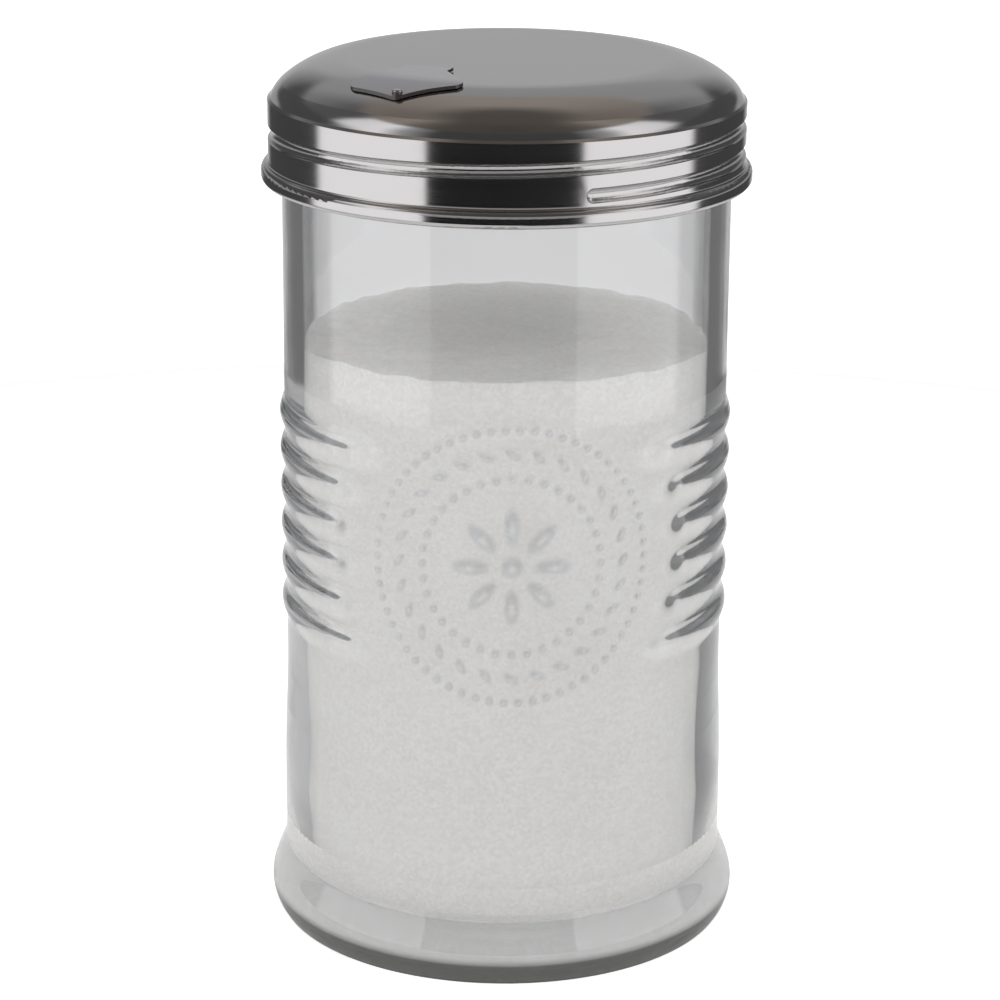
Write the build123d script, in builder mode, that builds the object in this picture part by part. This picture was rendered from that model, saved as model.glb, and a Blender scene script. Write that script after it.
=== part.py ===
from build123d import *
import math
import os

# Table sugar dispenser: pressed-glass jar, screw lid of sheet steel and a small pouring flap.
# The jar stands on z = 0 with its axis on Z, and the medallion on its front faces -Y.
# Azimuths are degrees about Z from the front, positive towards +X. Lengths are millimetres.

os.makedirs("parts", exist_ok=True)

# --- Driving dimensions: jar ---
jar_height = 135.3
body_radius = 35.3  # straight upper wall, outside
lower_swell = 0.55  # how much wider the wall is just above the foot
glass_wall = 3.1
base_thickness = 6.5
cavity_corner = 6.0
rim_round = 1.2
foot_flare = 2.35  # how far the foot stands out from the wall above it
foot_roll = 1.3  # from the foot's widest line in to the ring that the jar stands on
contact_width = 4.0
push_up = 1.2  # hollow under the base
foot_widest_z = 3.9
foot_top_z = 12.5
lower_wall_top_z = 24.0
taper_drop = 20.4  # from the medallion's middle down to where the straight upper wall starts

# --- Driving dimensions: moulded decoration ---
medallion_rise = 0.75  # above half the jar's height
rib_count = 6
rib_pitch = 6.28
rib_width = 4.3
rib_height = 0.75
rib_free_radius = 31.4  # the ribs stop on this circle round the medallion
relief_height = 0.4
bead_radius = 0.6
outer_bead_ring = 21.8
outer_bead_count = 62
inner_bead_ring = 14.0
inner_bead_count = 36
leaf_ring = 17.9
leaf_count = 28
leaf_length = 3.0
leaf_width = 1.1
leaf_slant = 35.0
petal_count = 8
petal_ring = 6.4
petal_length = 6.6
petal_width = 2.4
rosette_centre_radius = 1.7

# --- Driving dimensions: screw thread ---
thread_pitch = 25.4 / 6  # six turns to the inch
neck_thread_height = 1.2
neck_bead = 0.95  # radius of the glass thread's rounded section
neck_thread_turns = 1.25
neck_thread_end_azimuth = 83.0
neck_thread_drop = 2.1  # from the rim to the thread's upper end

# --- Driving dimensions: lid ---
sheet = 0.5
lid_height = 19.0
skirt_clearance = 0.4  # between the glass thread's crest and the skirt
crown_arc = 16.0  # radius of the crown's outer zone, which bends down through crown_arc_angle
crown_arc_angle = 40.0
shoulder_arc = 6.0  # radius of the corner between that zone and the skirt
ledge_angle = 22.0  # the corner stops this far short of upright, at a narrow ledge
ledge_height = 0.35
hem_flare = 1.1  # how far the stepped lower edge stands out from the skirt
hem_height = 3.1
hem_step = 1.5
curl_radius = 0.75
curl_return = 0.8
groove_depth = 0.9
groove_width = 2.3
lid_thread_turns = 1.3
lid_thread_start_azimuth = 18.0

# --- Driving dimensions: seal ring ---
seal_thickness = 1.2
seal_width = 3.4
seal_edge_inset = 0.3
seal_chamfer = 0.5
seal_gap = 0.3

# --- Driving dimensions: flap and its hinge ---
flap_azimuth = -20.0  # the way it points
flap_offset = -7.0  # its centre line passes the jar's axis at this distance
flap_gap = 0.12  # between the flap and the crown that it lies on
flap_tip_inset = 5.4  # from the outside of the skirt
flap_nose = 4.4  # from the tip back to the corners of the wings
flap_shoulder = 8.6  # from there back to the neck
flap_neck = 3.0
flap_wing_v = 9.6  # u runs along the flap from beside the jar's axis, v across it
flap_neck_half_width = 3.6
flap_tip_round = 1.5
flap_wing_round = 1.6
nib_radius = 0.8
nib_height = 0.5
nib_round = 0.4
nib_inset = 1.0
mouth_overlap = 1.6  # the flap laps the pouring hole by this much all round
tongue_lap = 1.8
slot_clearance = 0.25
flap_opening = 75.0  # degrees
pin_radius = 0.6
pin_chamfer = 0.2
pin_set_back = 2.0  # behind the flap's rear edge
pin_drop = 1.5  # below the inside of the crown
pin_running_clearance = 0.05
pin_end = 0.5
eye_radius = 1.25
ear_width = 1.2
ear_inset = 0.4  # from the side of the flap's neck
ear_reach = 4.0  # from the pin to the middle of the ear's curved arm
ear_root_rise = 17.0  # degrees above level that the foot of this arm has when the flap is open
bracket_sheet = 0.6
bracket_side_gap = 0.4
bracket_length = 9.0  # from its rear edge to the pin
bracket_web = 6.0
bracket_arm_margin = 0.8

# --- Driving dimensions: sugar ---
sugar_headspace = 38.1  # from the rim down to the sugar at the glass
sugar_crown = 1.2  # how much higher it lies on the axis
sugar_clearance = 0.1

# --- Sizes that follow ---
lower_radius = body_radius + lower_swell
foot_radius = lower_radius + foot_flare
contact_radius = foot_radius - foot_roll
cavity_radius = body_radius - glass_wall
medallion_z = jar_height / 2 + medallion_rise
upper_wall_start_z = medallion_z - taper_drop
sugar_level = jar_height - sugar_headspace
neck_thread_radius = body_radius + neck_thread_height
lid_radius = neck_thread_radius + skirt_clearance + sheet
hem_radius = lid_radius + hem_flare
crown_angle = math.radians(crown_arc_angle)
shoulder_centre_radius = lid_radius - shoulder_arc
crown_flat_radius = shoulder_centre_radius - (crown_arc - shoulder_arc) * math.sin(crown_angle)
seal_outer_radius = body_radius - seal_edge_inset
seal_top_z = jar_height + seal_thickness
seal_touch_radius = seal_outer_radius - seal_chamfer
crown_run = seal_touch_radius - crown_flat_radius
crown_drop = crown_arc - math.sqrt((crown_arc - sheet) ** 2 - crown_run**2)
lid_top_z = seal_top_z + seal_gap + crown_drop
lid_bottom_z = lid_top_z - lid_height
crown_inside_z = lid_top_z - sheet
shoulder_centre_z = lid_top_z - crown_arc + (crown_arc - shoulder_arc) * math.cos(crown_angle)
neck_thread_end_z = jar_height - neck_thread_drop
flap_tip_u = lid_radius - flap_tip_inset
flap_wing_u = flap_tip_u - flap_nose
flap_neck_u = flap_wing_u - flap_shoulder
flap_rear_u = flap_neck_u - flap_neck
pin_u = flap_rear_u - pin_set_back
bracket_start_u = pin_u - bracket_length


def neck_thread_z(azimuth):
    """Height of the glass thread's centre line at an azimuth, counted on over full turns."""
    return neck_thread_end_z + (azimuth - neck_thread_end_azimuth) / 360 * thread_pitch


def lid_thread_z(azimuth):
    """Height of the lid's groove, half a pitch under the glass thread."""
    return neck_thread_z(azimuth) - thread_pitch / 2


def front_point(radius, across, height):
    """Point on an upright cylinder: across is the arc length from the front line."""
    azimuth = across / radius
    return (radius * math.sin(azimuth), -radius * math.cos(azimuth), height)


def radial_plane(azimuth, across=0):
    """Upright plane beside the axis by across, its local x pointing outwards at an azimuth."""
    turn = math.radians(azimuth)
    return Plane(
        origin=(across * math.cos(turn), across * math.sin(turn), 0),
        x_dir=(math.sin(turn), -math.cos(turn), 0),
        z_dir=(-math.cos(turn), -math.sin(turn), 0),
    )


def level_plane(azimuth, across, height):
    """Level plane at a height, its local x pointing outwards at an azimuth, beside the axis."""
    turn = math.radians(azimuth)
    return Plane(
        origin=(across * math.cos(turn), across * math.sin(turn), height),
        x_dir=(math.sin(turn), -math.cos(turn), 0),
        z_dir=(0, 0, 1),
    )


def round_thread(centre_radius, section_radius, turns, start_azimuth, start_z):
    """Round bead wound on a right-hand helix, with ball ends, starting at an azimuth and height."""
    with BuildPart() as thread:
        with BuildLine():
            path = Helix(thread_pitch, thread_pitch * turns, centre_radius, center=(0, 0, start_z))
        with BuildSketch(Plane(origin=path @ 0, z_dir=path % 0)):
            Circle(section_radius)
        sweep(path=path, is_frenet=True)
        with Locations(path @ 0, path @ 1):
            Sphere(section_radius)
    return thread.part.rotate(Axis.Z, start_azimuth - 90)


def crown_outline(skin):
    """Draw the crown and shoulder of the lid, offset outwards by skin, from the axis to the ledge."""
    shoulder_turn = 90 - crown_arc_angle
    Line((0, lid_top_z + skin), (crown_flat_radius, lid_top_z + skin))
    CenterArc((crown_flat_radius, lid_top_z - crown_arc), crown_arc + skin, 90, -crown_arc_angle)
    corner_centre = (shoulder_centre_radius, shoulder_centre_z)
    return CenterArc(corner_centre, shoulder_arc + skin, shoulder_turn, ledge_angle - shoulder_turn)


# --- Glass jar ---
medallion_beads = []
bead_rings = ((outer_bead_ring, outer_bead_count), (inner_bead_ring, inner_bead_count))
for ring_radius, bead_count in bead_rings:
    for bead in range(bead_count):
        turn = 2 * math.pi * bead / bead_count
        across = ring_radius * math.cos(turn)
        height = medallion_z + ring_radius * math.sin(turn)
        medallion_beads.append(front_point(body_radius + relief_height - bead_radius, across, height))

rib_section_radius = ((rib_width / 2) ** 2 + rib_height**2) / (2 * rib_height)
rib_centre_radius = body_radius + rib_height - rib_section_radius
neck_thread_start = neck_thread_end_azimuth - 360 * neck_thread_turns
neck_thread = round_thread(
    neck_thread_radius - neck_bead,
    neck_bead,
    neck_thread_turns,
    neck_thread_start,
    neck_thread_z(neck_thread_start),
)

with BuildPart() as relief:
    with BuildSketch(Plane.XZ):
        with Locations((0, medallion_z)):
            Circle(rosette_centre_radius)
            with PolarLocations(petal_ring, petal_count):
                Ellipse(petal_length / 2, petal_width / 2)
            with PolarLocations(leaf_ring, leaf_count):
                Ellipse(leaf_length / 2, leaf_width / 2, rotation=90 - leaf_slant)
    extrude(amount=foot_radius)
    with BuildSketch(Plane.XY):
        Circle(body_radius + relief_height)
    extrude(amount=jar_height, mode=Mode.INTERSECT)

with BuildPart() as glass_jar:
    with BuildSketch(Plane.XZ):
        with BuildLine():
            foot_low = TangentArc((foot_radius, foot_widest_z), (contact_radius, 0), tangent=(0, -1))
            foot_middle = ((foot_radius + lower_radius) / 2, (foot_widest_z + foot_top_z) / 2)
            foot_high = TangentArc((foot_radius, foot_widest_z), foot_middle, tangent=(0, 1))
            foot_neck = TangentArc(foot_middle, (lower_radius, foot_top_z), tangent=foot_high % 1)
            wall_low = Line(foot_neck @ 1, (lower_radius, lower_wall_top_z))
            taper_middle = ((lower_radius + body_radius) / 2, (lower_wall_top_z + upper_wall_start_z) / 2)
            taper_low = TangentArc(wall_low @ 1, taper_middle, tangent=(0, 1))
            taper_high = TangentArc(taper_middle, (body_radius, upper_wall_start_z), tangent=taper_low % 1)
            wall_high = Line(taper_high @ 1, (body_radius, jar_height))
            Polyline(
                wall_high @ 1,
                (0, jar_height),
                (0, push_up),
                (contact_radius - contact_width - push_up, push_up),
                (contact_radius - contact_width, 0),
                foot_low @ 1,
            )
        make_face()
    revolve(axis=Axis.Z)
    for rib in range(rib_count):
        rise = (rib - (rib_count - 1) / 2) * rib_pitch
        tip_across = math.sqrt(rib_free_radius**2 - rise**2)
        end_azimuth = math.degrees((tip_across + rib_width / 2) / body_radius)
        with BuildSketch(radial_plane(end_azimuth)):
            with Locations((rib_centre_radius, medallion_z + rise)):
                Circle(rib_section_radius)
        revolve(axis=Axis.Z, revolution_arc=360 - 2 * end_azimuth)
        rib_end = math.radians(end_azimuth) * rib_centre_radius
        with Locations(
            front_point(rib_centre_radius, rib_end, medallion_z + rise),
            front_point(rib_centre_radius, -rib_end, medallion_z + rise),
        ):
            Sphere(rib_section_radius)
    add(relief.part)
    with Locations(*medallion_beads):
        Sphere(bead_radius)
    add(neck_thread)
    with BuildSketch(Plane.XY.offset(base_thickness)):
        Circle(cavity_radius)
    extrude(amount=jar_height, mode=Mode.SUBTRACT)
    cavity_edges = glass_jar.edges(Select.LAST).filter_by(GeomType.CIRCLE)
    fillet(cavity_edges.sort_by(Axis.Z)[0], cavity_corner)
    fillet(glass_jar.edges().filter_by(GeomType.CIRCLE).group_by(Axis.Z)[-1], rim_round)
glass_jar.part.label = "glass_jar"

# --- Sugar ---
with BuildPart() as sugar_fill:
    with BuildSketch(Plane.XZ):
        with BuildLine():
            side_r = cavity_radius - sugar_clearance
            floor_z = base_thickness + sugar_clearance
            corner = cavity_corner - sugar_clearance
            top = TangentArc((0, sugar_level + sugar_crown), (side_r, sugar_level), tangent=(1, 0))
            side = Line(top @ 1, (side_r, floor_z + corner))
            bend = TangentArc(side @ 1, (side_r - corner, floor_z), tangent=(0, -1))
            Polyline(bend @ 1, (0, floor_z), top @ 0)
        make_face()
    revolve(axis=Axis.Z)
sugar_fill.part.label = "sugar_fill"

# --- Seal ring ---
with BuildPart() as seal_ring:
    with BuildSketch(Plane.XY.offset(jar_height)):
        Circle(seal_outer_radius)
        Circle(seal_outer_radius - seal_width, mode=Mode.SUBTRACT)
    extrude(amount=seal_thickness)
    chamfer(seal_ring.edges().group_by(Axis.Z)[-1].sort_by(SortBy.RADIUS)[-1], seal_chamfer)
seal_ring.part.label = "seal_ring"

# --- Lid ---
groove_bulge = ((groove_width / 2) ** 2 - groove_depth**2) / (2 * groove_depth)
groove_section = groove_bulge + groove_depth
lid_thread_start = lid_thread_start_azimuth - 360
groove_line = (lid_thread_turns, lid_thread_start, lid_thread_z(lid_thread_start))
groove_cut = round_thread(lid_radius + groove_bulge, groove_section, *groove_line)
groove_wall = round_thread(lid_radius + groove_bulge, groove_section + sheet, *groove_line)

with BuildPart() as inner_thread:
    add(groove_wall)
    with BuildSketch(Plane.XY.offset(lid_bottom_z)):
        Circle(lid_radius - sheet / 2)
    extrude(amount=lid_height, mode=Mode.INTERSECT)

ear_v = flap_neck_half_width - ear_inset - sheet / 2
ear_root_angle = ear_root_rise - flap_opening
ear_inside_run = math.sqrt((ear_reach - ear_width / 2) ** 2 - (pin_drop + sheet) ** 2)
slot_rear_u = pin_u + ear_inside_run - slot_clearance
slot_width = sheet + 2 * slot_clearance
mouth_rear_u = flap_rear_u + tongue_lap
pin_z = crown_inside_z - pin_drop
under_crown = level_plane(flap_azimuth, flap_offset, crown_inside_z - lid_height / 2)


def flap_outline():
    """Draw the flap's outline seen from above: a neck at the rear and a V-shaped front edge."""
    Polyline(
        (flap_rear_u, flap_neck_half_width),
        (flap_neck_u, flap_neck_half_width),
        (flap_wing_u, flap_wing_v),
        (flap_tip_u, 0),
        (flap_wing_u, -flap_wing_v),
        (flap_neck_u, -flap_neck_half_width),
        (flap_rear_u, -flap_neck_half_width),
        close=True,
    )


with BuildPart() as pouring_mouth:
    with BuildSketch(under_crown) as mouth_face:
        with BuildLine():
            flap_outline()
        make_face()
        offset(amount=-mouth_overlap, kind=Kind.INTERSECTION)
        fillet(mouth_face.vertices().sort_by(Axis.X)[-3:], flap_tip_round)
        with Locations((mouth_rear_u, 0)):
            Rectangle(lid_height, 2 * lid_radius, align=(Align.MAX, Align.CENTER), mode=Mode.SUBTRACT)
            Rectangle(flap_neck_u - flap_rear_u, 2 * ear_v + slot_width, align=(Align.MIN, Align.CENTER))
        with Locations((slot_rear_u, ear_v), (slot_rear_u, -ear_v)):
            Rectangle(flap_neck_u - slot_rear_u, slot_width, align=(Align.MIN, Align.CENTER))
    extrude(amount=lid_height)

with BuildPart() as lid_cap:
    with BuildSketch(Plane.XZ):
        with BuildLine():
            middle = -sheet / 2
            hem_top_z = lid_bottom_z + hem_height
            hem_middle = ((lid_radius + hem_radius) / 2 + middle, hem_top_z - hem_step / 2)
            curl_r = hem_radius - curl_radius
            curl_z = lid_bottom_z + curl_radius
            curl_middle = curl_radius + middle
            shoulder = crown_outline(middle)
            ledge = Line(shoulder @ 1, (lid_radius + middle, (shoulder @ 1).Y - ledge_height))
            skirt = Line(ledge @ 1, (lid_radius + middle, hem_top_z))
            step_in = TangentArc(skirt @ 1, hem_middle, tangent=(0, -1))
            step_end = (hem_radius + middle, hem_top_z - hem_step)
            TangentArc(hem_middle, step_end, tangent=step_in % 1)
            Line(step_end, (hem_radius + middle, curl_z))
            curl = CenterArc((curl_r, curl_z), curl_middle, 0, -180)
            Line(curl @ 1, (curl_r - curl_middle, curl_z + curl_return))
        trace(line_width=sheet)
    revolve(axis=Axis.Z)
    add(inner_thread.part)
    add(groove_cut, mode=Mode.SUBTRACT)
    add(pouring_mouth.part, mode=Mode.SUBTRACT)
lid_cap.part.label = "lid_cap"

# --- Flap ---
flap_middle = flap_gap + sheet / 2
flap_middle_z = lid_top_z + flap_middle

with BuildPart() as flap_skin:
    with BuildSketch(Plane.XZ):
        with BuildLine():
            crown_outline(flap_middle)
        trace(line_width=sheet)
    revolve(axis=Axis.Z)

with BuildPart() as above_flap:
    with BuildSketch(Plane.XZ):
        with BuildLine():
            skin_end = crown_outline(flap_middle) @ 1
            above_z = lid_top_z + lid_height
            Polyline(skin_end, (skin_end.X, above_z), (0, above_z), (0, flap_middle_z))
        make_face()
    revolve(axis=Axis.Z)

nib_u = flap_tip_u - nib_inset
nib_run = math.hypot(nib_u, flap_offset) - crown_flat_radius
nib_foot = math.sqrt((crown_arc + flap_gap + sheet) ** 2 - nib_run**2)
nib_top_z = lid_top_z - crown_arc + nib_foot + nib_height

with BuildPart() as lifting_nib:
    with BuildSketch(level_plane(flap_azimuth, flap_offset, nib_top_z)):
        with Locations((nib_u, 0)):
            Circle(nib_radius)
    extrude(amount=-lid_height)
    fillet(lifting_nib.edges().group_by(Axis.Z)[-1], nib_round)
    add(above_flap.part, mode=Mode.INTERSECT)

with BuildPart() as pour_flap:
    with BuildSketch(under_crown) as flap_face:
        with BuildLine():
            flap_outline()
        make_face()
        fillet(flap_face.vertices().sort_by(Axis.X)[-1], flap_tip_round)
        across_flap = flap_face.vertices().sort_by(Axis.Y)
        fillet([across_flap[0], across_flap[-1]], flap_wing_round)
    extrude(amount=lid_height)
    add(flap_skin.part, mode=Mode.INTERSECT)
    add(lifting_nib.part)
    for side in (ear_v, -ear_v):
        with BuildSketch(radial_plane(flap_azimuth, flap_offset).offset(side)):
            with BuildLine():
                arm = CenterArc((pin_u, pin_z), ear_reach, ear_root_angle, 90 - ear_root_angle)
                Line((pin_u, pin_z), arm @ 0)
            trace(line_width=ear_width)
            with Locations(arm @ 0):
                Circle(ear_width / 2)
            with Locations((pin_u, flap_middle_z)):
                Rectangle(lid_height, lid_height, align=(Align.CENTER, Align.MIN), mode=Mode.SUBTRACT)
            with Locations((pin_u, pin_z)):
                Circle(eye_radius)
                Circle(pin_radius + pin_running_clearance, mode=Mode.SUBTRACT)
        extrude(amount=sheet / 2, both=True)
pour_flap.part.label = "pour_flap"

# --- Hinge pin and bracket ---
arm_inside = ear_v + sheet / 2 + bracket_side_gap
arm_outside = arm_inside + bracket_sheet

with BuildPart() as hinge_pin:
    with BuildSketch(radial_plane(flap_azimuth, flap_offset)):
        with Locations((pin_u, pin_z)):
            Circle(pin_radius)
    extrude(amount=arm_outside + pin_end, both=True)
    chamfer(hinge_pin.edges().filter_by(GeomType.CIRCLE), pin_chamfer)
hinge_pin.part.label = "hinge_pin"

with BuildPart() as hinge_bracket:
    with BuildSketch(level_plane(flap_azimuth, flap_offset, crown_inside_z - bracket_sheet)):
        with Locations((bracket_start_u, 0)):
            Rectangle(bracket_web, 2 * arm_outside, align=(Align.MIN, Align.CENTER))
    extrude(amount=bracket_sheet)
    for side in (arm_inside, -arm_outside):
        with BuildSketch(radial_plane(flap_azimuth, flap_offset).offset(side)):
            with BuildLine():
                CenterArc((pin_u, pin_z), pin_radius + bracket_arm_margin, 0, 360)
                arm_top = Line((bracket_start_u, crown_inside_z), (pin_u + pin_radius, crown_inside_z))
                Line(arm_top @ 0, (bracket_start_u, crown_inside_z - bracket_sheet))
            make_hull()
            with Locations((pin_u, pin_z)):
                Circle(pin_radius, mode=Mode.SUBTRACT)
        extrude(amount=bracket_sheet)
hinge_bracket.part.label = "hinge_bracket"

for piece in (glass_jar, sugar_fill, seal_ring, lid_cap, pour_flap, hinge_pin, hinge_bracket):
    export_step(piece.part, f"parts/{piece.part.label}.step")
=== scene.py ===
import math

import bpy
from mathutils import Matrix, Vector


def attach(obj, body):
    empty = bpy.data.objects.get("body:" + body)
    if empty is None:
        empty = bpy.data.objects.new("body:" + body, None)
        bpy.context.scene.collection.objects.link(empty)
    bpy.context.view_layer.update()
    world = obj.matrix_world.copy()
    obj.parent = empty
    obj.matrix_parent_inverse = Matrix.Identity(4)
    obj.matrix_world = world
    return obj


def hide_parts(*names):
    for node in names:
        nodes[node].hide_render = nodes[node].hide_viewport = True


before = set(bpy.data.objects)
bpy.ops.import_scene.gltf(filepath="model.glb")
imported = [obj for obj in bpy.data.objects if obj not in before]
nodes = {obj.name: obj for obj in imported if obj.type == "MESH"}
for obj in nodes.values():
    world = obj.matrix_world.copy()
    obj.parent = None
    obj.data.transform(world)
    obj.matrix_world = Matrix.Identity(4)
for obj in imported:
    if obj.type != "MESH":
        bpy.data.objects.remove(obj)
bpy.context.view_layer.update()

# The glass jar: a soda-lime tumbler pressed in an iron mould, with a heavy base and a rolled foot.
# Six ribs, a round ornament and the screw thread of the neck stand out of its wall, all with the
# soft edges that hot glass keeps when it leaves the mould.
MM = 0.001
JAR_HEIGHT = 135.3
BODY_RADIUS = 35.3
LOWER_RADIUS = 35.85
FOOT_RADIUS = 38.2
CONTACT_RADIUS = 36.9
CONTACT_WIDTH = 4.0
PUSH_UP = 1.2
FOOT_WIDEST_Z = 3.9
FOOT_ARC = 6.5
FOOT_ARC_START = -36.87
FOOT_TOP_Z = 12.5
LOWER_WALL_TOP_Z = 24.0
UPPER_WALL_FOOT_Z = 45.0
RIBBED_TOP_Z = 92.0
NECK_FOOT_Z = 125.0
GROOVED_TOP_Z = 88.0
GROOVED_FOOT_Z = 47.0
CAVITY_RADIUS = 32.2
BASE_THICKNESS = 6.5
CAVITY_CORNER = 6.0
RIM_ROUND = 1.2
MEDALLION_Z = 68.4
RIB_COUNT = 6
RIB_PITCH = 6.28
RIB_REACH = 3.1
RIB_HEIGHT = 0.75
RIB_FREE_RADIUS = 26.4
RIB_END_STRETCH = 0.75
GROOVE_REACH = 0.9
GROOVE_DEPTH = 0.2
GROOVE_FREE_RADIUS = 31.8
GROOVE_END_STRETCH = 0.45
GROOVE_BAND = 1.1
PLAIN_BAND = (2.2, 4.1)
RELIEF_HEIGHT = 0.4
BEAD_REACH = 0.85
OUTER_BEADS = (21.8, 62)
INNER_BEADS = (14.0, 36)
LEAVES = (17.9, 28)
LEAF_SIZE = (1.7, 0.8)
LEAF_SLANT = 35.0
PETALS = (6.4, 8)
PETAL_SIZE = (3.6, 1.5)
ROSETTE_REACH = 2.1
THREAD_PITCH = 25.4 / 6
THREAD_TURNS = 1.25
THREAD_END_AZIMUTH = 83.0
THREAD_END_Z = 133.2
THREAD_BEAD = 0.95
THREAD_HEIGHT = 1.2
PUSH_UP_ROW = 6.0
STAND_ROW = 1.0
WALL_ROW = 3.0
RIBBED_ROW = 0.4
NECK_ROW = 0.35
GROOVE_ROW = 0.22
PLAIN_ROW = 1.0
INSIDE_ROW = 12.0
FLOOR_ROW = 9.0
FIRST_SECTOR = -56
SIDE_SECTORS = ((18, 18), (160, 76), (18, 18), (90, 248))
GLASS_TINT = (0.985, 0.985, 0.99, 1.0)
GLASS_DEPTH_TINT = (0.862, 0.868, 0.876, 1.0)
GLASS_DEPTH = 70.0
# Painted shade: this grey darkens the glass's colour on the relief's steep flanks.
FLANK_PAINTED_SHADE = (0.66, 0.67, 0.70, 1.0)
# Painted shade: this near-black darkens the glass's colour at the heel of the foot, up to
# HEEL_TOP_Z.
HEEL_PAINTED_SHADE = (0.035, 0.037, 0.033, 1.0)
HEEL_TOP_Z = 4.7
HEEL_FADE = 1.3
GLASS_IOR = 1.5
RIPPLE_SCALE = 60.0
RIPPLE_ROUGHNESS = 0.04
RIPPLE_BUMP = 0.15
RIPPLE_HEIGHT = 0.0004


def arc(centre, radius, start, end, steps):
    """Points (radius, height) along an arc, with angles in degrees from the outward direction."""
    points = []
    for step in range(steps + 1):
        turn = math.radians(start + (end - start) * step / steps)
        points.append((centre[0] + radius * math.cos(turn), centre[1] + radius * math.sin(turn)))
    return points


def run(low, high, pitch):
    """Points along a straight run, spaced by about a pitch."""
    count = max(1, round(math.dist(low, high) / pitch))
    return [(low[0] + (high[0] - low[0]) * step / count,
             low[1] + (high[1] - low[1]) * step / count) for step in range(count + 1)]


def swell(low, high, steps):
    """Points from one upright stretch of wall to another, through a soft S."""
    points = []
    for step in range(steps + 1):
        part = step / steps
        eased = part * part * (3 - 2 * part)
        points.append((low[0] + (high[0] - low[0]) * eased, low[1] + (high[1] - low[1]) * part))
    return points


def lathe(name, profile, sectors, start):
    """Turn a profile of (radius, height) points, in millimetres, about the upright axis."""
    turn = math.radians(start)
    outward = Vector((math.sin(turn), -math.cos(turn), 0))
    points = [(outward * radius + Vector((0, 0, height))) * MM for radius, height in profile]
    bpy.ops.object.select_all(action="DESELECT")
    bpy.ops.mesh.primitive_plane_add(size=MM, location=points[0])
    piece = bpy.context.object
    piece.name = name
    piece.data.name = name
    bpy.ops.object.transform_apply(location=True, rotation=True, scale=True)
    bpy.ops.object.mode_set(mode="EDIT")
    bpy.ops.mesh.select_all(action="SELECT")
    bpy.ops.mesh.merge(type="CENTER")
    for here, there in zip(points, points[1:]):
        if (there - here).length > 1e-7:
            bpy.ops.mesh.extrude_region_move(TRANSFORM_OT_translate={"value": there - here})
    bpy.ops.mesh.select_all(action="SELECT")
    for steps, sweep in sectors:
        bpy.ops.mesh.spin(
            steps=steps, angle=math.radians(sweep), center=(0, 0, 0), axis=(0, 0, -1),
            use_auto_merge=False)
    bpy.ops.mesh.select_all(action="SELECT")
    bpy.ops.mesh.remove_doubles(threshold=2e-6)
    bpy.ops.mesh.normals_make_consistent(inside=False)
    bpy.ops.object.mode_set(mode="OBJECT")
    return piece


def bump(distance, reach):
    """Height of a rounded bump: 1 at its middle and 0 from its edge outwards."""
    return math.cos(math.pi * distance / (2 * reach)) ** 2 if distance < reach else 0.0


def grow(piece, name, weights, height):
    """Push the weighted points of a piece out along its normals by up to a height."""
    group = piece.vertex_groups.new(name=name)
    for index, weight in weights.items():
        group.add([index], weight, "REPLACE")
    bpy.context.view_layer.objects.active = piece
    bpy.ops.object.modifier_add(type="DISPLACE")
    push = piece.modifiers[-1]
    push.vertex_group = name
    push.mid_level = 0.0
    push.strength = height * MM
    bpy.ops.object.modifier_apply(modifier=push.name)


def nearest_of_ring(across, rise, ring):
    """Offset (outwards, along) of a point from the nearest of the equal places on a ring."""
    radius, count = ring
    step = 2 * math.pi / count
    angle = math.atan2(rise, across)
    gap = angle - round(angle / step) * step
    reach = math.hypot(across, rise)
    return reach * math.cos(gap) - radius, reach * math.sin(gap)


def rib_at(across, rise, reach, free_radius, end_stretch):
    """Share of a rib's height on the unrolled wall: a soft ridge that fades out at its tip."""
    highest = 0.0
    for rib in range(RIB_COUNT):
        middle = (rib - (RIB_COUNT - 1) / 2) * RIB_PITCH
        tip = math.sqrt(free_radius ** 2 - middle ** 2) + reach / end_stretch
        beyond = max(0.0, tip - abs(across)) * end_stretch
        highest = max(highest, bump(math.hypot(rise - middle, beyond), reach))
    return highest


def relief_at(across, rise):
    """Share of the relief's height on the unrolled wall: beads, a wreath of leaves, a rosette."""
    highest = bump(math.hypot(across, rise), ROSETTE_REACH)
    for ring in (OUTER_BEADS, INNER_BEADS):
        highest = max(highest, bump(math.hypot(*nearest_of_ring(across, rise, ring)), BEAD_REACH))
    slant = math.radians(90 - LEAF_SLANT)
    for ring, size, lean in ((LEAVES, LEAF_SIZE, slant), (PETALS, PETAL_SIZE, 0.0)):
        outwards, along = nearest_of_ring(across, rise, ring)
        long_way = outwards * math.cos(lean) + along * math.sin(lean)
        short_way = along * math.cos(lean) - outwards * math.sin(lean)
        highest = max(highest, bump(math.hypot(long_way / size[0], short_way / size[1]), 1.0))
    return highest


def thread_at(azimuth, height):
    """Share of the screw thread's height: a round bead wound on the neck."""
    highest = 0.0
    for turn in range(-1, 1):
        counted = azimuth + 360 * turn
        past = max(0.0, counted - THREAD_END_AZIMUTH,
                   THREAD_END_AZIMUTH - 360 * THREAD_TURNS - counted)
        middle = THREAD_END_Z + (counted - THREAD_END_AZIMUTH) / 360 * THREAD_PITCH
        away = math.hypot(height - middle, math.radians(past) * BODY_RADIUS)
        if away < THREAD_BEAD:
            proud = math.sqrt(THREAD_BEAD ** 2 - away ** 2) + THREAD_HEIGHT - THREAD_BEAD
            highest = max(highest, proud / THREAD_HEIGHT)
    return highest


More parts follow.
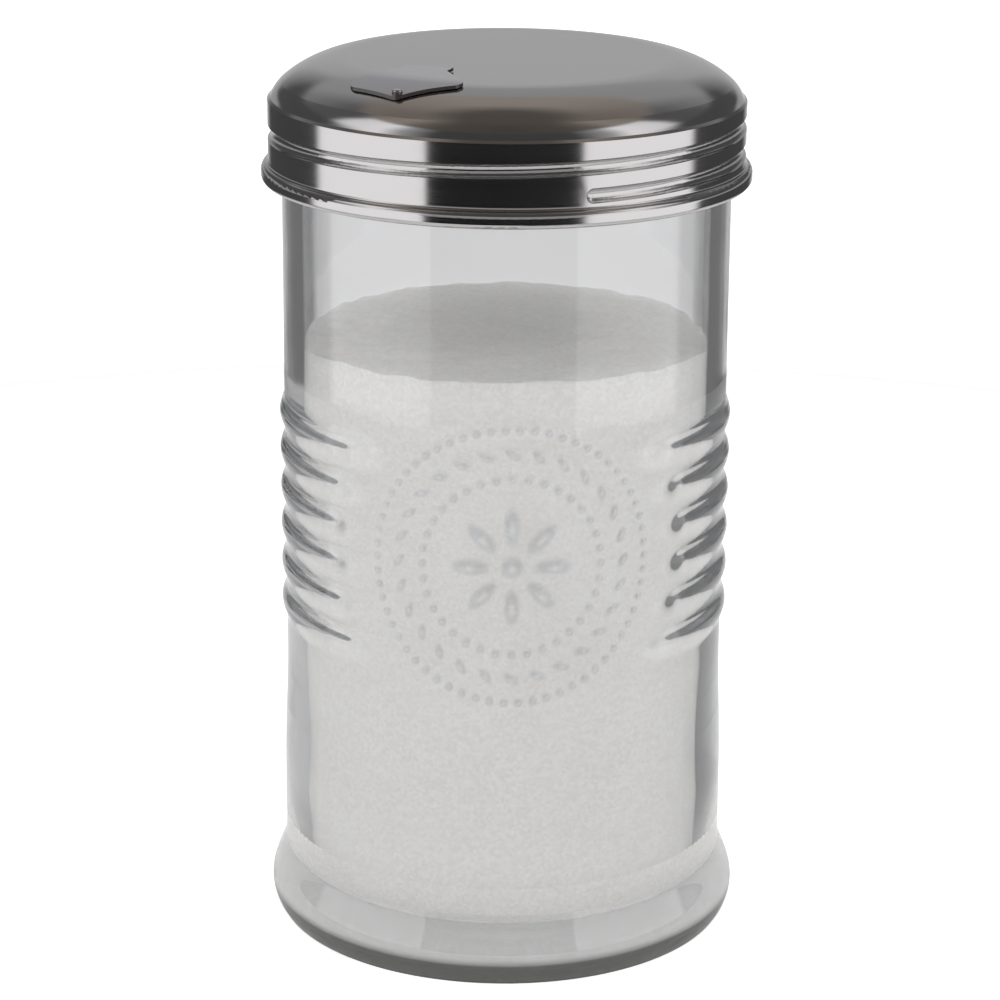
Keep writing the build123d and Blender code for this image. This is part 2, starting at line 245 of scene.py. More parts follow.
inner_rows = []
for rib in range(RIB_COUNT):
    groove_z = MEDALLION_Z + ((RIB_COUNT - 1) / 2 - rib) * RIB_PITCH
    inner_rows += run(
        (CAVITY_RADIUS, groove_z + GROOVE_BAND), (CAVITY_RADIUS, groove_z - GROOVE_BAND),
        GROOVE_ROW)
    inner_rows += run(
        (CAVITY_RADIUS, groove_z - PLAIN_BAND[0]), (CAVITY_RADIUS, groove_z - PLAIN_BAND[1]),
        PLAIN_ROW)
stand_inner = CONTACT_RADIUS - CONTACT_WIDTH
rim_z = JAR_HEIGHT - RIM_ROUND
corner_z = BASE_THICKNESS + CAVITY_CORNER
wall_rows = (
    run((LOWER_RADIUS, FOOT_TOP_Z), (LOWER_RADIUS, LOWER_WALL_TOP_Z), WALL_ROW)
    + swell((LOWER_RADIUS, LOWER_WALL_TOP_Z), (BODY_RADIUS, UPPER_WALL_FOOT_Z), 10)
    + run((BODY_RADIUS, UPPER_WALL_FOOT_Z), (BODY_RADIUS, RIBBED_TOP_Z), RIBBED_ROW)
    + run((BODY_RADIUS, RIBBED_TOP_Z), (BODY_RADIUS, NECK_FOOT_Z), WALL_ROW)
    + run((BODY_RADIUS, NECK_FOOT_Z), (BODY_RADIUS, rim_z), NECK_ROW))
jar_profile = (
    run((0, PUSH_UP), (stand_inner - PUSH_UP, PUSH_UP), PUSH_UP_ROW)
    + arc((stand_inner, PUSH_UP * 0.6), PUSH_UP * 0.6, 200, 270, 4)
    + run((stand_inner, 0), (CONTACT_RADIUS, 0), STAND_ROW)
    + arc((FOOT_RADIUS - FOOT_ARC, FOOT_WIDEST_Z), FOOT_ARC, FOOT_ARC_START, 0, 8)
    + swell((FOOT_RADIUS, FOOT_WIDEST_Z), (LOWER_RADIUS, FOOT_TOP_Z), 14)
    + wall_rows
    + arc((BODY_RADIUS - RIM_ROUND, rim_z), RIM_ROUND, 0, 90, 5)
    + arc((CAVITY_RADIUS + RIM_ROUND, rim_z), RIM_ROUND, 90, 180, 5)
    + run((CAVITY_RADIUS, rim_z), (CAVITY_RADIUS, GROOVED_TOP_Z), INSIDE_ROW)
    + inner_rows
    + run((CAVITY_RADIUS, GROOVED_FOOT_Z), (CAVITY_RADIUS, corner_z), INSIDE_ROW)
    + arc((CAVITY_RADIUS - CAVITY_CORNER, corner_z), CAVITY_CORNER, 0, -90, 8)
    + run((CAVITY_RADIUS - CAVITY_CORNER, BASE_THICKNESS), (0, BASE_THICKNESS), FLOOR_ROW))
jar = lathe("pressed_glass_jar", jar_profile, SIDE_SECTORS, FIRST_SECTOR)
ribs, grooves, relief, thread = {}, {}, {}, {}
for point in jar.data.vertices:
    across, depth, height = point.co / MM
    radius = math.hypot(across, depth)
    azimuth = math.degrees(math.atan2(across, -depth))
    unrolled = math.radians(azimuth) * BODY_RADIUS
    if radius < BODY_RADIUS - 0.1:
        if UPPER_WALL_FOOT_Z < height < RIBBED_TOP_Z and radius > CAVITY_RADIUS - 0.1:
            grooves[point.index] = rib_at(
                unrolled, height - MEDALLION_Z, GROOVE_REACH, GROOVE_FREE_RADIUS,
                GROOVE_END_STRETCH)
    elif UPPER_WALL_FOOT_Z < height < RIBBED_TOP_Z:
        ribs[point.index] = rib_at(
            unrolled, height - MEDALLION_Z, RIB_REACH, RIB_FREE_RADIUS, RIB_END_STRETCH)
        relief[point.index] = relief_at(unrolled, height - MEDALLION_Z)
    elif height > NECK_FOOT_Z:
        thread[point.index] = thread_at(azimuth, height)
for name, weights, height in (
        ("ribs", ribs, RIB_HEIGHT), ("grooves", grooves, -GROOVE_DEPTH),
        ("relief", relief, RELIEF_HEIGHT), ("thread", thread, THREAD_HEIGHT)):
    grow(jar, name, {index: share for index, share in weights.items() if share > 0.001}, height)

# Painted shade: the steep flanks of the relief and the heel of the foot turn light aside in the
# glass, so their colour is painted darker.
flank_painted_shade = jar.data.attributes.new("flank_painted_shade", "FLOAT", "POINT")
for index, share in relief.items():
    flank_painted_shade.data[index].value = 4 * share * (1 - share)
heel_painted_shade = jar.data.attributes.new("heel_painted_shade", "FLOAT", "POINT")
for point in jar.data.vertices:
    across, depth, height = point.co / MM
    if math.hypot(across, depth) > CONTACT_RADIUS - 0.1:
        heel_painted_shade.data[point.index].value = min(1.0, max(0.0, (HEEL_TOP_Z - height) / HEEL_FADE))
bpy.ops.object.shade_smooth_by_angle(angle=math.radians(50))


def new_material(name):
    """A node material, its nodes, its links and its Principled shader."""
    made = bpy.data.materials.new(name)
    made.use_nodes = True
    tree = made.node_tree
    return made, tree.nodes, tree.links, tree.nodes["Principled BSDF"]


def add_noise(cells, links, scale, detail, vector):
    """A noise texture read at a vector."""
    noise = cells.new("ShaderNodeTexNoise")
    noise.inputs["Scale"].default_value = scale
    noise.inputs["Detail"].default_value = detail
    links.new(vector, noise.inputs["Vector"])
    return noise


def add_range(cells, links, value, low, high):
    """The 0 to 1 of a value spread over a new range."""
    spread = cells.new("ShaderNodeMapRange")
    spread.inputs["To Min"].default_value = low
    spread.inputs["To Max"].default_value = high
    links.new(value, spread.inputs["Value"])
    return spread.outputs["Result"]


def add_bump(cells, links, value, strength, distance):
    """A bump of a strength, over a height in metres."""
    raised = cells.new("ShaderNodeBump")
    raised.inputs["Strength"].default_value = strength
    raised.inputs["Distance"].default_value = distance
    links.new(value, raised.inputs["Height"])
    return raised.outputs["Normal"]


glass, cells, links, shader = new_material("pressed_glass")
tint_with_painted_shade = None
# The glass's own tint is mixed with the painted shade on the relief's flanks and on the foot's
# heel.
for name, colour in (("flank_painted_shade", FLANK_PAINTED_SHADE), ("heel_painted_shade", HEEL_PAINTED_SHADE)):
    share = cells.new("ShaderNodeAttribute")
    share.attribute_name = name
    tint_shade_mix = cells.new("ShaderNodeMix")
    tint_shade_mix.data_type = "RGBA"
    tint_shade_mix.inputs["A"].default_value = GLASS_TINT
    tint_shade_mix.inputs["B"].default_value = colour
    links.new(share.outputs["Fac"], tint_shade_mix.inputs["Factor"])
    if tint_with_painted_shade:
        links.new(tint_with_painted_shade, tint_shade_mix.inputs["A"])
    tint_with_painted_shade = tint_shade_mix.outputs["Result"]
links.new(tint_with_painted_shade, shader.inputs["Base Color"])
shader.inputs["Transmission Weight"].default_value = 1.0
shader.inputs["IOR"].default_value = GLASS_IOR
absorbed = cells.new("ShaderNodeVolumeAbsorption")
absorbed.inputs["Color"].default_value = GLASS_DEPTH_TINT
absorbed.inputs["Density"].default_value = GLASS_DEPTH
links.new(absorbed.outputs["Volume"], cells["Material Output"].inputs["Volume"])
place = cells.new("ShaderNodeTexCoord")
ripple = add_noise(cells, links, RIPPLE_SCALE, 1.0, place.outputs["Object"])
satin = add_range(cells, links, ripple.outputs["Fac"], 0.0, RIPPLE_ROUGHNESS)
links.new(satin, shader.inputs["Roughness"])
ripples = add_bump(cells, links, ripple.outputs["Fac"], RIPPLE_BUMP, RIPPLE_HEIGHT)
links.new(ripples, shader.inputs["Normal"])
jar.data.materials.append(glass)
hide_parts("glass_jar")
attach(jar, "jar")

# The sugar: loose white granulated sugar, poured in to about two thirds of the jar.
# It lies nearly level, with small heaps and hollows, and its grains glitter a little.
SUGAR_GAP = 0.1
SUGAR_RADIUS = CAVITY_RADIUS - SUGAR_GAP
SUGAR_PRESS = 0.05
SUGAR_FLOOR = BASE_THICKNESS - SUGAR_PRESS
SUGAR_CORNER = CAVITY_CORNER + SUGAR_PRESS
SUGAR_PACKED_Z = 13.5
SUGAR_FREE_Z = 17.0
SUGAR_LOW_PAINTED_SHADE = 0.94
SUGAR_LEVEL = 96.9
SUGAR_CROWN = 0.9
SUGAR_LUMP = 1.3
SUGAR_LUMP_SIZE = 5.0
SUGAR_ROW = 6.0
SUGAR_PACKED_ROW = 1.0
SUGAR_DARK = (0.86, 0.84, 0.80, 1)
SUGAR_LIGHT = (0.96, 0.95, 0.93, 1)
SUGAR_ROUGHNESS = 0.7
SUGAR_GLOW = 0.8
SUGAR_GLOW_REACH = 0.004
GRAIN_SCALE = 2000.0
DRIFT_SCALE = 90.0
DRIFT_SHARE = 0.35
GRAIN_BUMP = 0.15
GRAIN_HEIGHT = 0.0002
top_rows = [(radius, SUGAR_LEVEL + SUGAR_CROWN * (1 - (radius / SUGAR_RADIUS) ** 2))
            for radius in [SUGAR_RADIUS * (1 - step / 40) for step in range(41)]]
packed_radius = CAVITY_RADIUS + SUGAR_PRESS
packed_from_z = SUGAR_FLOOR + SUGAR_CORNER
sugar_profile = (
    run((0, SUGAR_FLOOR), (packed_radius - SUGAR_CORNER, SUGAR_FLOOR), SUGAR_ROW)
    + arc((packed_radius - SUGAR_CORNER, packed_from_z), SUGAR_CORNER, -90, 0, 8)
    + run((packed_radius, packed_from_z), (packed_radius, SUGAR_PACKED_Z), SUGAR_PACKED_ROW)
    + run((SUGAR_RADIUS, SUGAR_FREE_Z), (SUGAR_RADIUS, SUGAR_LEVEL), SUGAR_ROW)
    + top_rows)
heap = lathe("poured_sugar", sugar_profile, ((200, 360),), 0)
lumps = heap.vertex_groups.new(name="top")
for point in heap.data.vertices:
    if point.co.z > (SUGAR_LEVEL - 0.01) * MM:
        lumps.add([point.index], 1.0, "REPLACE")
bpy.ops.object.modifier_add(type="DISPLACE")
heave = heap.modifiers[-1]
heave.texture = bpy.data.textures.new("sugar_lumps", "CLOUDS")
heave.texture.noise_scale = SUGAR_LUMP_SIZE * MM
heave.texture.noise_depth = 3
heave.vertex_group = "top"
heave.direction = "Z"
heave.mid_level = 0.5
heave.strength = SUGAR_LUMP * MM
bpy.ops.object.modifier_apply(modifier=heave.name)
bpy.ops.object.shade_smooth_by_angle(angle=math.radians(60))
sugar, cells, links, shader = new_material("granulated_sugar")
shader.inputs["Roughness"].default_value = SUGAR_ROUGHNESS
shader.inputs["Subsurface Weight"].default_value = SUGAR_GLOW
shader.inputs["Subsurface Radius"].default_value = (1, 1, 1)
shader.inputs["Subsurface Scale"].default_value = SUGAR_GLOW_REACH
place = cells.new("ShaderNodeTexCoord")
grain = cells.new("ShaderNodeTexVoronoi")
grain.inputs["Scale"].default_value = GRAIN_SCALE
links.new(place.outputs["Object"], grain.inputs["Vector"])
drift = add_noise(cells, links, DRIFT_SCALE, 3.0, place.outputs["Object"])
blend = cells.new("ShaderNodeMix")
blend.data_type = "FLOAT"
blend.inputs["Factor"].default_value = DRIFT_SHARE
links.new(grain.outputs["Color"], blend.inputs["A"])
links.new(drift.outputs["Fac"], blend.inputs["B"])
tone = cells.new("ShaderNodeValToRGB")
tone.color_ramp.elements[0].position = 0.2
tone.color_ramp.elements[0].color = SUGAR_DARK
tone.color_ramp.elements[1].position = 0.8
tone.color_ramp.elements[1].color = SUGAR_LIGHT
links.new(blend.outputs["Result"], tone.inputs["Fac"])
# Painted shade: the sugar's colour is darkened towards the bottom, below the free sugar, to hold
# back the floor light that reaches it through the foot.
split = cells.new("ShaderNodeSeparateXYZ")
links.new(place.outputs["Object"], split.inputs["Vector"])
low_shade_ramp = cells.new("ShaderNodeMapRange")
low_shade_ramp.inputs["From Min"].default_value = SUGAR_PACKED_Z * MM
low_shade_ramp.inputs["From Max"].default_value = SUGAR_FREE_Z * MM
low_shade_ramp.inputs["To Min"].default_value = SUGAR_LOW_PAINTED_SHADE
links.new(split.outputs["Z"], low_shade_ramp.inputs["Value"])
tone_with_low_shade = cells.new("ShaderNodeVectorMath")
tone_with_low_shade.operation = "SCALE"
links.new(tone.outputs["Color"], tone_with_low_shade.inputs["Vector"])
links.new(low_shade_ramp.outputs["Result"], tone_with_low_shade.inputs["Scale"])
links.new(tone_with_low_shade.outputs["Vector"], shader.inputs["Base Color"])
grains = add_bump(cells, links, grain.outputs["Distance"], GRAIN_BUMP, GRAIN_HEIGHT)
links.new(grains, shader.inputs["Normal"])
heap.data.materials.append(sugar)
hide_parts("sugar_fill")
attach(heap, "jar")

# The seal: a flat ring of milky silicone that lies on the jar's rim under the crown of the lid.
# It is cut from moulded sheet, so its faces are matt with a faint mottle.
SEAL_DARK = (0.66, 0.66, 0.64, 1)
SEAL_LIGHT = (0.78, 0.78, 0.76, 1)
SEAL_ROUGHNESS = (0.38, 0.55)
MOTTLE_SCALE = 700.0
MOTTLE_BUMP = 0.2
MOTTLE_HEIGHT = 0.0001
silicone, cells, links, shader = new_material("milky_silicone")
place = cells.new("ShaderNodeTexCoord")
mottle = add_noise(cells, links, MOTTLE_SCALE, 4.0, place.outputs["Object"])
tone = cells.new("ShaderNodeValToRGB")
tone.color_ramp.elements[0].color = SEAL_DARK
tone.color_ramp.elements[1].color = SEAL_LIGHT
links.new(mottle.outputs["Fac"], tone.inputs["Fac"])
links.new(tone.outputs["Color"], shader.inputs["Base Color"])
links.new(
    add_range(cells, links, mottle.outputs["Fac"], *SEAL_ROUGHNESS), shader.inputs["Roughness"])
mottling = add_bump(cells, links, mottle.outputs["Fac"], MOTTLE_BUMP, MOTTLE_HEIGHT)
links.new(mottling, shader.inputs["Normal"])
nodes["seal_ring"].material_slots[0].material = silicone

# The lid: a screw cap spun from stainless sheet, with a rolled thread and a curled hem.
# It was polished as it turned, so hair-fine rings run round it under a mirror gloss.
STEEL = (0.50, 0.49, 0.49, 1.0)
LID_RINGS = 2600.0
LID_GLOSS = 0.06
LID_HAZE = 0.14
SMEAR_SCALE = 55.0
RING_BUMP = 0.06
RING_HEIGHT = 0.00005


def steel_finish(name, rings, gloss, haze):
    """Stainless steel with hair-fine polishing rings, and roughness from gloss to gloss + haze."""
    made, cells, links, shader = new_material(name)
    shader.inputs["Base Color"].default_value = STEEL
    shader.inputs["Metallic"].default_value = 1.0
    place = cells.new("ShaderNodeTexCoord")
    split = cells.new("ShaderNodeSeparateXYZ")
    links.new(place.outputs["Object"], split.inputs["Vector"])
    level = cells.new("ShaderNodeCombineXYZ")
    links.new(split.outputs["X"], level.inputs["X"])
    links.new(split.outputs["Y"], level.inputs["Y"])
    distance = cells.new("ShaderNodeVectorMath")
    distance.operation = "LENGTH"
    links.new(level.outputs["Vector"], distance.inputs[0])
    lathe_way = cells.new("ShaderNodeCombineXYZ")
    links.new(distance.outputs["Value"], lathe_way.inputs["X"])
    links.new(split.outputs["Z"], lathe_way.inputs["Y"])
    lines = add_noise(cells, links, rings, 2.0, lathe_way.outputs["Vector"])
    smear = add_noise(cells, links, SMEAR_SCALE, 3.0, place.outputs["Object"])
    both = cells.new("ShaderNodeMix")
    both.data_type = "FLOAT"
    both.inputs["Factor"].default_value = 0.5
    links.new(lines.outputs["Fac"], both.inputs["A"])
    links.new(smear.outputs["Fac"], both.inputs["B"])
    links.new(add_range(cells, links, both.outputs["Result"], gloss, gloss + haze),
              shader.inputs["Roughness"])
    hair_lines = add_bump(cells, links, lines.outputs["Fac"], RING_BUMP, RING_HEIGHT)
    links.new(hair_lines, shader.inputs["Normal"])
    return made


lid_steel = steel_finish("polished_spun_steel", LID_RINGS, LID_GLOSS, LID_HAZE)
nodes["lid_cap"].material_slots[0].material = lid_steel

# The flap, its pin and its bracket: pressed stainless sheet and drawn wire under the crown.
# The flap is cut from the same sheet as the lid and polished with it; its sheared edge is dull, and
# its upright faces are painted near-black, a painted shade for the shadow along the flap's edge.
CUT_EDGE_PAINTED_SHADE = (0.035, 0.03, 0.028, 1.0)
FLAP_STEEL = (0.54, 0.54, 0.57, 1.0)
FLAP_GLOSS = 0.08
EDGE_SHADE_TILT = (0.35, 0.5)
HINGE_RINGS = 4000.0
HINGE_GLOSS = 0.20
HINGE_HAZE = 0.20
flap_steel = steel_finish("polished_flap_steel", LID_RINGS, FLAP_GLOSS, LID_HAZE)
cells, links = flap_steel.node_tree.nodes, flap_steel.node_tree.links
shader = cells["Principled BSDF"]
facing = cells.new("ShaderNodeNewGeometry")
upright = cells.new("ShaderNodeSeparateXYZ")
links.new(facing.outputs["True Normal"], upright.inputs["Vector"])
tilt = cells.new("ShaderNodeMath")
tilt.operation = "ABSOLUTE"
links.new(upright.outputs["Z"], tilt.inputs[0])
# Painted shade: faces that stand upright lose the steel and take the near-black edge colour.
upright_edge_shade = cells.new("ShaderNodeMapRange")
upright_edge_shade.inputs["From Min"].default_value = EDGE_SHADE_TILT[0]
upright_edge_shade.inputs["From Max"].default_value = EDGE_SHADE_TILT[1]
links.new(tilt.outputs["Value"], upright_edge_shade.inputs["Value"])
steel_or_edge_shade = cells.new("ShaderNodeMix")
steel_or_edge_shade.data_type = "RGBA"
steel_or_edge_shade.inputs["A"].default_value = CUT_EDGE_PAINTED_SHADE
steel_or_edge_shade.inputs["B"].default_value = FLAP_STEEL
links.new(upright_edge_shade.outputs["Result"], steel_or_edge_shade.inputs["Factor"])
links.new(steel_or_edge_shade.outputs["Result"], shader.inputs["Base Color"])
links.new(upright_edge_shade.outputs["Result"], shader.inputs["Metallic"])
nodes["pour_flap"].material_slots[0].material = flap_steel
hinge_steel = steel_finish("plain_hinge_steel", HINGE_RINGS, HINGE_GLOSS, HINGE_HAZE)
for name in ("hinge_pin", "hinge_bracket"):
    nodes[name].material_slots[0].material = hinge_steel

# The light tent: round, of pale cloth lit from outside, with a dark opening in front. The steel
# mirrors it, so its bright and dark stretches make the bands on the lid. Each cloth is given by
# pairs of azimuth from the front, in degrees, and brightness; its heights are in metres.
TENT_RADIUS = 0.34
TENT_HEIGHT = 0.52
TENT_FULL = 2.4
TENT_TURN = -3.0
LOW_CLOTH = ((0, 0.02), (34.5, 0.02), (36, 1.4), (93, 1.4), (97, 0.08), (150, 0.08), (162, 0.70))
BELT_CLOTH = ((0, 0.45), (34.5, 0.45), (37, 1.4), (93, 1.4), (98, 0.5), (150, 0.4), (162, 0.52))
MID_CLOTH = (
    (0, 0.45), (34, 0.45), (40, 1.3), (62, 1.3), (74, 0.55), (96, 0.10), (148, 0.10), (162, 0.50))
HIGH_CLOTH = (
    (0, 0.08), (38, 0.08), (56, 0.5), (66, 1.3), (90, 1.1), (98, 0.12), (125, 0.15), (146, 0.42))
ROOF_CLOTH = (
    (0, 0.10), (45, 0.12), (62, 0.2), (78, 0.42), (92, 0.36), (105, 0.22), (140, 0.36), (165, 0.42))
GLASS_LOW_CLOTH = ((0, 0.74), (96, 0.74), (101, 0.18), (154, 0.18), (160, 0.70), (180, 0.74))
GLASS_HIGH_CLOTH = ((0, 0.25), (180, 0.25))
SOFT_LOW_CLOTH = ((0, 0.05), (180, 0.05))
SOFT_HIGH_CLOTH = ((0, 2.35), (180, 2.35))
ROOF_MIDDLE = 0.13
ROOF_WARMTH = (1.0, 0.88, 0.78)
BELT_Z = (0.105, 0.120)
MID_Z = (0.160, 0.175)
HIGH_Z = (0.29, 0.32)
ROOF_EDGE = (0.335, 0.30)
ROOF_CENTRE = (0.15, 0.08)
GLASS_HIGH_Z = (0.10, 0.13)
SOFT_HIGH_Z = (0.05, 0.20)


def cloth_ramp(cells, links, azimuth, stops):
    """Brightness of the cloth by its azimuth from the front, given in degrees."""
    ramp = cells.new("ShaderNodeValToRGB")
    elements = ramp.color_ramp.elements
    while len(elements) < len(stops):
        elements.new(0.5)
    for element, (degrees, value) in zip(elements, stops):
        element.position = degrees / 180
        element.color = (value / TENT_FULL,) * 3 + (1,)
    links.new(azimuth, ramp.inputs["Fac"])
    return ramp.outputs["Color"]


def change_over(cells, links, value, stretch, before, after):
    """One cloth before a stretch, another after it, and a blend of the two within it."""
    step = cells.new("ShaderNodeMapRange")
    step.inputs["From Min"].default_value = stretch[0]
    step.inputs["From Max"].default_value = stretch[1]
    links.new(value, step.inputs["Value"])
    mixed = cells.new("ShaderNodeMix")
    mixed.data_type = "RGBA"
    links.new(step.outputs["Result"], mixed.inputs["Factor"])
    links.new(before, mixed.inputs["A"])
    links.new(after, mixed.inputs["B"])
    return mixed.outputs["Result"]


bpy.ops.object.select_all(action="DESELECT")
bpy.ops.mesh.primitive_cylinder_add(
    vertices=180, radius=TENT_RADIUS, depth=TENT_HEIGHT, end_fill_type="TRIFAN",
    location=(0, 0, TENT_HEIGHT / 2))
tent = bpy.context.object
tent.name = "light_tent"
bpy.ops.object.transform_apply(location=True, rotation=False, scale=False)
bpy.ops.object.mode_set(mode="EDIT")
bpy.ops.mesh.select_mode(type="FACE")
bpy.ops.mesh.select_all(action="DESELECT")
bpy.ops.object.mode_set(mode="OBJECT")
for face in tent.data.polygons:
    face.select = face.center.z < 0.001
bpy.ops.object.mode_set(mode="EDIT")
bpy.ops.mesh.delete(type="FACE")
bpy.ops.object.mode_set(mode="OBJECT")
cloth = bpy.data.materials.new("tent_cloth")
cloth.use_nodes = True
cells, links = cloth.node_tree.nodes, cloth.node_tree.links
cells.remove(cells["Principled BSDF"])
place = cells.new("ShaderNodeTexCoord")
split = cells.new("ShaderNodeSeparateXYZ")
links.new(place.outputs["Object"], split.inputs["Vector"])
front = cells.new("ShaderNodeMath")
front.operation = "MULTIPLY"
front.inputs[1].default_value = -1.0
links.new(split.outputs["Y"], front.inputs[0])
angle = cells.new("ShaderNodeMath")
angle.operation = "ARCTAN2"
links.new(split.outputs["X"], angle.inputs[0])
links.new(front.outputs["Value"], angle.inputs[1])
share = cells.new("ShaderNodeMath")
share.operation = "DIVIDE"
share.inputs[1].default_value = math.pi
links.new(angle.outputs["Value"], share.inputs[0])
size = cells.new("ShaderNodeMath")
size.operation = "ABSOLUTE"
links.new(share.outputs["Value"], size.inputs[0])
azimuth = size.outputs["Value"]
level = cells.new("ShaderNodeVectorMath")
level.operation = "MULTIPLY"
level.inputs[1].default_value = (1, 1, 0)
links.new(place.outputs["Object"], level.inputs[0])
reach = cells.new("ShaderNodeVectorMath")
reach.operation = "LENGTH"
links.new(level.outputs["Vector"], reach.inputs[0])
low, belt, mid, high, roof = (
    cloth_ramp(cells, links, azimuth, stops)
    for stops in (LOW_CLOTH, BELT_CLOTH, MID_CLOTH, HIGH_CLOTH, ROOF_CLOTH))
warm = cells.new("ShaderNodeMix")
warm.data_type = "RGBA"
warm.blend_type = "MULTIPLY"
warm.inputs["Factor"].default_value = 1.0
warm.inputs["B"].default_value = (*ROOF_WARMTH, 1)
links.new(roof, warm.inputs["A"])
middle = cells.new("ShaderNodeRGB")
middle.outputs["Color"].default_value = (
    *(ROOF_MIDDLE / TENT_FULL * part for part in ROOF_WARMTH), 1)
wall = change_over(cells, links, split.outputs["Z"], BELT_Z, low, belt)
wall = change_over(cells, links, split.outputs["Z"], MID_Z, wall, mid)
wall = change_over(cells, links, split.outputs["Z"], HIGH_Z, wall, high)
wall = change_over(cells, links, reach.outputs["Value"], ROOF_EDGE, wall, warm.outputs["Result"])
wall = change_over(cells, links, reach.outputs["Value"], ROOF_CENTRE, wall, middle.outputs["Color"])
path = cells.new("ShaderNodeLightPath")
behind_glass = change_over(
    cells, links, split.outputs["Z"], GLASS_HIGH_Z,
    cloth_ramp(cells, links, azimuth, GLASS_LOW_CLOTH),
    cloth_ramp(cells, links, azimuth, GLASS_HIGH_CLOTH))
soft = change_over(
    cells, links, split.outputs["Z"], SOFT_HIGH_Z,
    cloth_ramp(cells, links, azimuth, SOFT_LOW_CLOTH),
    cloth_ramp(cells, links, azimuth, SOFT_HIGH_CLOTH))
wall = change_over(cells, links, path.outputs["Is Transmission Ray"], (0, 1), wall, behind_glass)
wall = change_over(cells, links, path.outputs["Diffuse Depth"], (0, 1), wall, soft)
light = cells.new("ShaderNodeEmission")
light.inputs["Strength"].default_value = TENT_FULL
links.new(wall, light.inputs["Color"])
links.new(light.outputs["Emission"], cells["Material Output"].inputs["Surface"])
tent.data.materials.append(cloth)
tent.rotation_euler.z = math.radians(TENT_TURN)
tent.visible_camera = False
tent.visible_shadow = False

# The floor: white paper. It looks white to the camera and keeps the object's shadow. For rays
# through the glass it glows by place, a painted light: under the jar faintly to sight and brightly
# as light for the sugar, and beside the jar brighter on the left than on the right.
FLOOR_RADIUS = 1.6
FLOOR_LIFT = 0.64
PAPER = (0.80, 0.80, 0.80, 1)
PAPER_ROUGHNESS = 0.9
FOOT_REACH = (0.045, 0.070)
SIDE_REACH = (-0.03, 0.03)
UNDER_FOOT = 0.25
UNDER_SUGAR = 1.60
LEFT_OF_GLASS = 0.44
RIGHT_OF_GLASS = 0.17
bpy.ops.object.select_all(action="DESELECT")
bpy.ops.mesh.primitive_circle_add(
    vertices=256, radius=FLOOR_RADIUS, fill_type="NGON", location=(0, 0, 0))
floor = bpy.context.object
floor.name = "floor"
paper, cells, links, shader = new_material("white_paper")
shader.inputs["Base Color"].default_value = PAPER
shader.inputs["Roughness"].default_value = PAPER_ROUGHNESS
path = cells.new("ShaderNodeLightPath")
links.new(add_range(cells, links, path.outputs["Is Camera Ray"], 0.0, FLOOR_LIFT),
          shader.inputs["Emission Strength"])
shader.inputs["Emission Color"].default_value = (1, 1, 1, 1)
place = cells.new("ShaderNodeTexCoord")
split = cells.new("ShaderNodeSeparateXYZ")
links.new(place.outputs["Object"], split.inputs["Vector"])
reach = cells.new("ShaderNodeVectorMath")
reach.operation = "LENGTH"
links.new(place.outputs["Object"], reach.inputs[0])
away = cells.new("ShaderNodeMapRange")
away.inputs["From Min"].default_value = FOOT_REACH[0]
away.inputs["From Max"].default_value = FOOT_REACH[1]
links.new(reach.outputs["Value"], away.inputs["Value"])
beside = cells.new("ShaderNodeMapRange")
beside.inputs["From Min"].default_value = SIDE_REACH[0]
beside.inputs["From Max"].default_value = SIDE_REACH[1]
beside.inputs["To Min"].default_value = LEFT_OF_GLASS
beside.inputs["To Max"].default_value = RIGHT_OF_GLASS
links.new(split.outputs["X"], beside.inputs["Value"])
under = add_range(cells, links, path.outputs["Diffuse Depth"], UNDER_FOOT, UNDER_SUGAR)
shown = cells.new("ShaderNodeMix")
shown.data_type = "FLOAT"
links.new(away.outputs["Result"], shown.inputs["Factor"])
links.new(under, shown.inputs["A"])
links.new(beside.outputs["Result"], shown.inputs["B"])
through = cells.new("ShaderNodeEmission")
links.new(shown.outputs["Result"], through.inputs["Strength"])
scattered = cells.new("ShaderNodeMath")
scattered.operation = "MULTIPLY"
links.new(away.outputs["Result"], scattered.inputs[0])
links.new(path.outputs["Diffuse Depth"], scattered.inputs[1])
direct = cells.new("ShaderNodeMath")
direct.operation = "SUBTRACT"
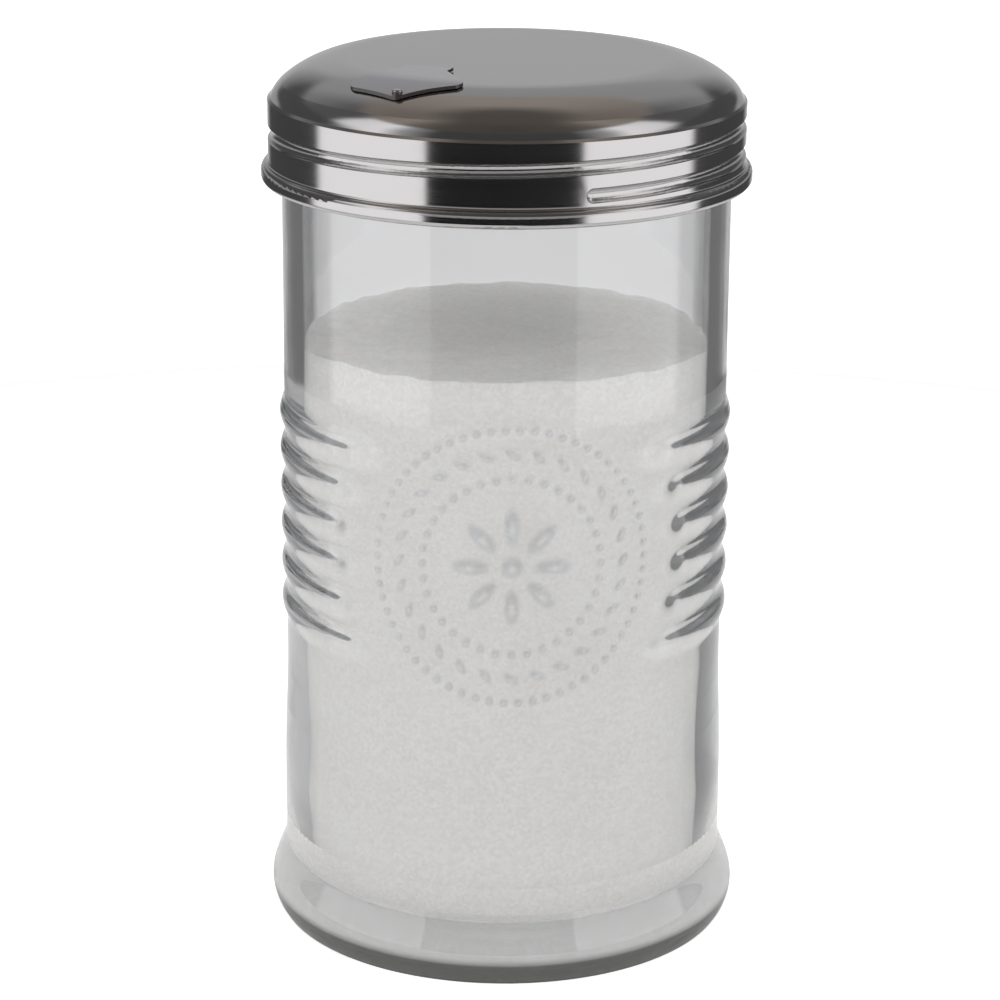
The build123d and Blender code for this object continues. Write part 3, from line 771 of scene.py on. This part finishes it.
direct.use_clamp = True
links.new(path.outputs["Is Transmission Ray"], direct.inputs[0])
links.new(scattered.outputs["Value"], direct.inputs[1])
seen = cells.new("ShaderNodeMixShader")
links.new(direct.outputs["Value"], seen.inputs["Fac"])
links.new(shader.outputs["BSDF"], seen.inputs[1])
links.new(through.outputs["Emission"], seen.inputs[2])
links.new(seen.outputs["Shader"], cells["Material Output"].inputs["Surface"])
floor.data.materials.append(paper)

world = bpy.data.worlds.new("studio")
bpy.context.scene.world = world
world.use_nodes = True
world.node_tree.nodes["Background"].inputs["Color"].default_value = (1, 1, 1, 1)
world.node_tree.nodes["Background"].inputs["Strength"].default_value = 1.0

# The camera: it stands a little to the left of the ornament's middle and looks down on the jar.
# Light bounces many times inside the ribs and the foot, and they turn black when it is cut short.
CAMERA_AZIMUTH = math.radians(-2.0)
CAMERA_DISTANCE = 0.5141
CAMERA_HEIGHT = 0.2303
CAMERA_PITCH = math.radians(17.5)
CAMERA_YAW = math.radians(0.079)
CAMERA_ROLL = math.radians(0.39)
SENSOR_WIDTH = 36
FOCAL_LENGTH = 119.9
GLASS_BOUNCES = 24
ALL_BOUNCES = 32
bpy.ops.object.camera_add()
camera = bpy.context.object
camera.matrix_world = (
    Matrix.Translation((
        CAMERA_DISTANCE * math.sin(CAMERA_AZIMUTH),
        -CAMERA_DISTANCE * math.cos(CAMERA_AZIMUTH),
        CAMERA_HEIGHT))
    @ Matrix.Rotation(CAMERA_AZIMUTH + CAMERA_YAW, 4, "Z")
    @ Matrix.Rotation(math.radians(90) - CAMERA_PITCH, 4, "X")
    @ Matrix.Rotation(CAMERA_ROLL, 4, "Z"))
camera.data.sensor_width = SENSOR_WIDTH
camera.data.lens = FOCAL_LENGTH
bpy.context.scene.camera = camera
bpy.context.scene.view_settings.view_transform = "Standard"
bpy.context.scene.cycles.max_bounces = ALL_BOUNCES
bpy.context.scene.cycles.glossy_bounces = GLASS_BOUNCES
bpy.context.scene.cycles.transmission_bounces = GLASS_BOUNCES
